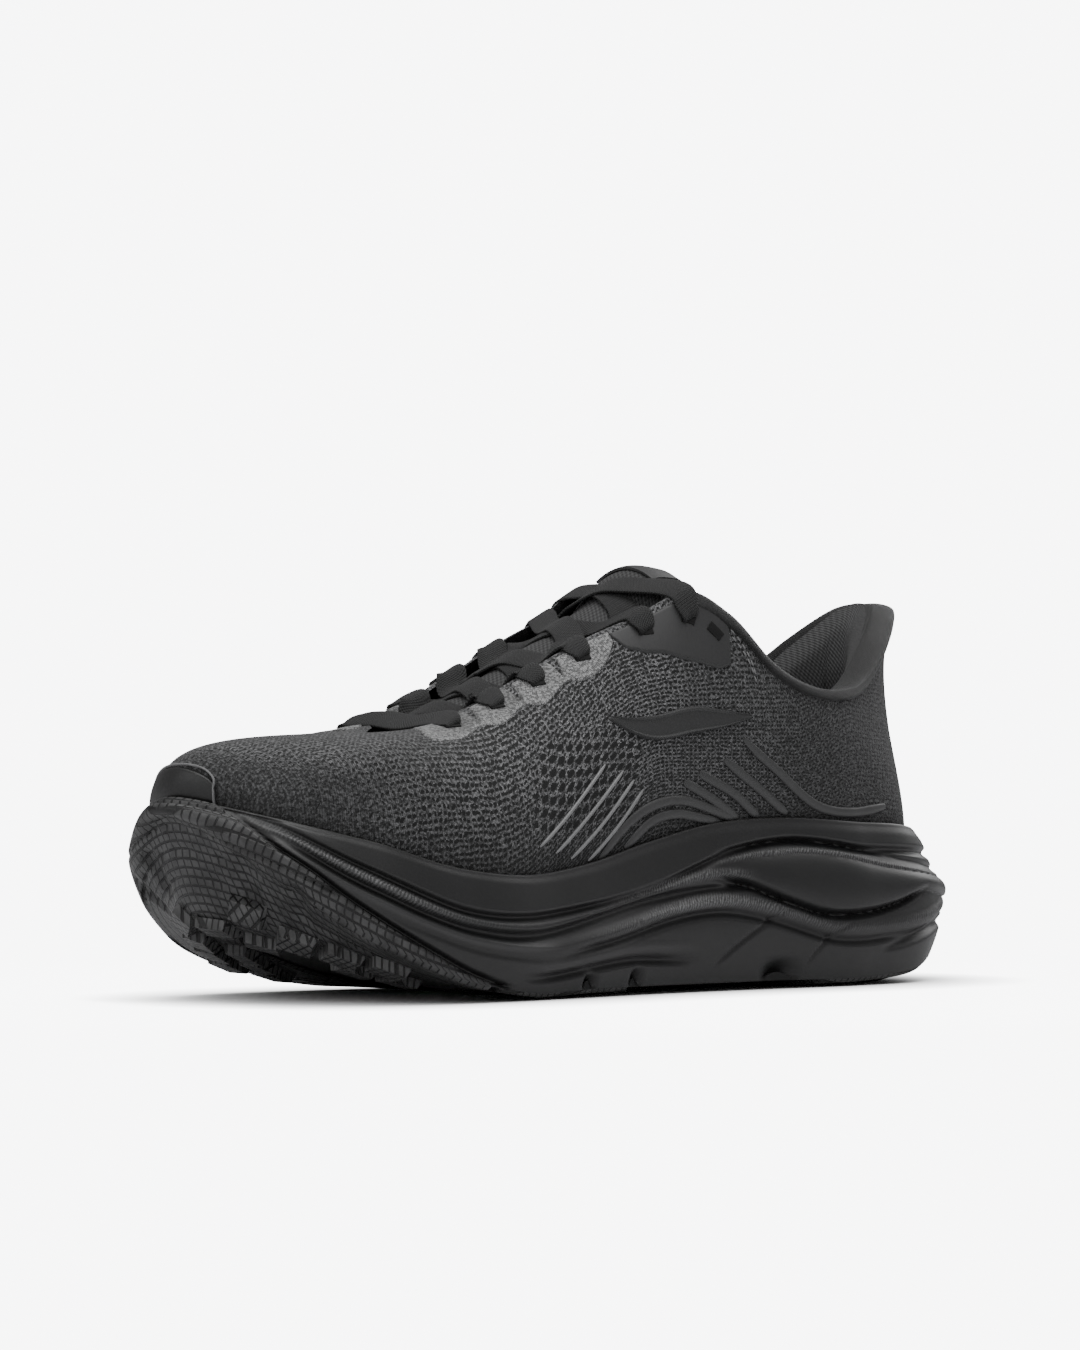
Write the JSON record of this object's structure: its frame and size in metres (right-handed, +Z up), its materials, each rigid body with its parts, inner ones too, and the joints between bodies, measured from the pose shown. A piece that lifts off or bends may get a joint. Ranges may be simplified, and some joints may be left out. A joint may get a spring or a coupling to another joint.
{
  "type": "running shoe",
  "caption": "Left running shoe with a thick sculpted foam midsole, rubber tread pods, a laced knit upper and a padded collar and tongue.",
  "frame": {"origin": "bottom centre of the shoe's bounding box, on the ground plane", "axes": "+Z up, -Y towards the toe, +Y towards the heel, +X towards the outer (lateral) side of this left shoe"},
  "size_m": [0.1078, 0.3026, 0.1318],
  "materials": {
    "midsole_foam": "satin moulded foam",
    "outsole_rubber": "matt rubber with a fine grid",
    "strobel_board": "pressed fibre board",
    "sockliner_foam": "open foam",
    "lining_textile": "brushed textile",
    "knit": "engineered knit",
    "counter_plastic": "thermoformed sheet",
    "toe_puff_board": "stiffened textile",
    "collar_foam": "soft foam",
    "smooth_film": "satin film",
    "rib_film": "satin film with raised ribs",
    "embroidery": "embroidered yarn",
    "tongue_knit": "ribbed knit",
    "lace_textile": "flat woven lace",
    "aglet_plastic": "clear-coated tip"
  },
  "bodies": {
    "shoe": {"midsole": "midsole_foam", "strobel_board": "strobel_board", "sockliner_foam": "sockliner_foam", "sockliner_cloth": "lining_textile", "knit_upper": "knit", "heel_counter": "counter_plastic", "toe_puff": "toe_puff_board", "collar_foam": "collar_foam", "collar_lining": "lining_textile", "vamp_lining": "lining_textile", "toe_bumper": "outsole_rubber", "heel_strip": "smooth_film", "lace": "lace_textile", "outsole_toe": "outsole_rubber", "outsole_forefoot_lateral": "outsole_rubber", "outsole_forefoot_medial": "outsole_rubber", "outsole_heel_lateral": "outsole_rubber", "outsole_heel_medial": "outsole_rubber", "eyestay_plate_lateral": "smooth_film", "eyestay_band_lateral": "embroidery", "saddle_lateral": "smooth_film", "support_film_lateral": "rib_film", "lace_tail_lateral": "lace_textile", "aglet_lateral": "aglet_plastic", "eyestay_plate_medial": "smooth_film", "eyestay_band_medial": "embroidery", "saddle_medial": "smooth_film", "support_film_medial": "rib_film", "lace_tail_medial": "lace_textile", "aglet_medial": "aglet_plastic"},
    "tongue": {"tongue_face": "tongue_knit", "tongue_foam": "collar_foam", "tongue_lining": "lining_textile", "tongue_label": "smooth_film"}
  },
  "joints": [
    {"name": "tongue_tilt", "type": "hinge", "parent": "shoe", "child": "tongue", "pos_m": [0, -0.082, 0.068], "axis": [1, 0, 0], "range_deg": [-5, 0], "stiffness_Nm_per_rad": 1.5}
  ]
}
